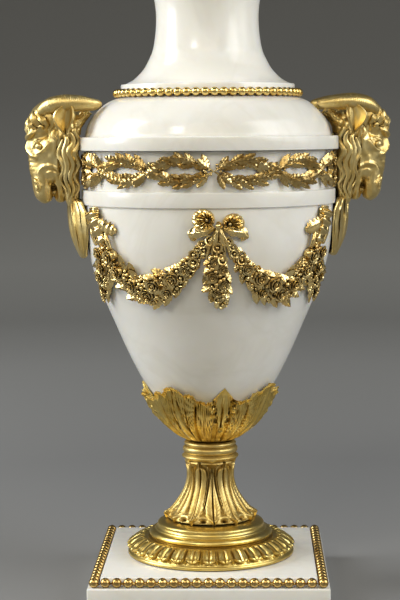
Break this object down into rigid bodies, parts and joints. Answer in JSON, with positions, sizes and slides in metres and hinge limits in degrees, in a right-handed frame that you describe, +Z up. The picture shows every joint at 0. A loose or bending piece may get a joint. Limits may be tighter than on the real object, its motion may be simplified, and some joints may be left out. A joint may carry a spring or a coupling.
{
  "type": "mantel urn",
  "caption": "Footed marble vase with an open flared neck, gilt bronze ram's head handles, laurel frieze and garlands, on a square plinth.",
  "frame": {"origin": "middle of the plinth's underside, on the surface that the urn stands on", "axes": "+Z up along the urn's axis, -Y towards the front, +X along the line of the rams' heads to within a few degrees"},
  "size_m": [0.219, 0.1602, 0.385],
  "materials": {
    "marble": "polished white marble, warm and slightly translucent",
    "gilt_bronze": "mercury-gilt cast bronze, chased and part burnished",
    "antique_gilt": "mercury-gilt cast bronze with brown patina left in the hollows"
  },
  "bodies": {
    "root": {"plinth": "marble", "plinth_beading": "gilt_bronze", "foot": "gilt_bronze", "stem": "gilt_bronze", "leaf_cup": "gilt_bronze", "body": "marble", "shoulder": "marble", "neck_beading": "gilt_bronze", "neck": "marble", "garland_front": "antique_gilt", "garland_back": "antique_gilt", "laurel_frieze_front": "antique_gilt", "laurel_frieze_back": "antique_gilt", "ram_head_right": "gilt_bronze", "ram_head_left": "gilt_bronze"}
  },
  "joints": []
}
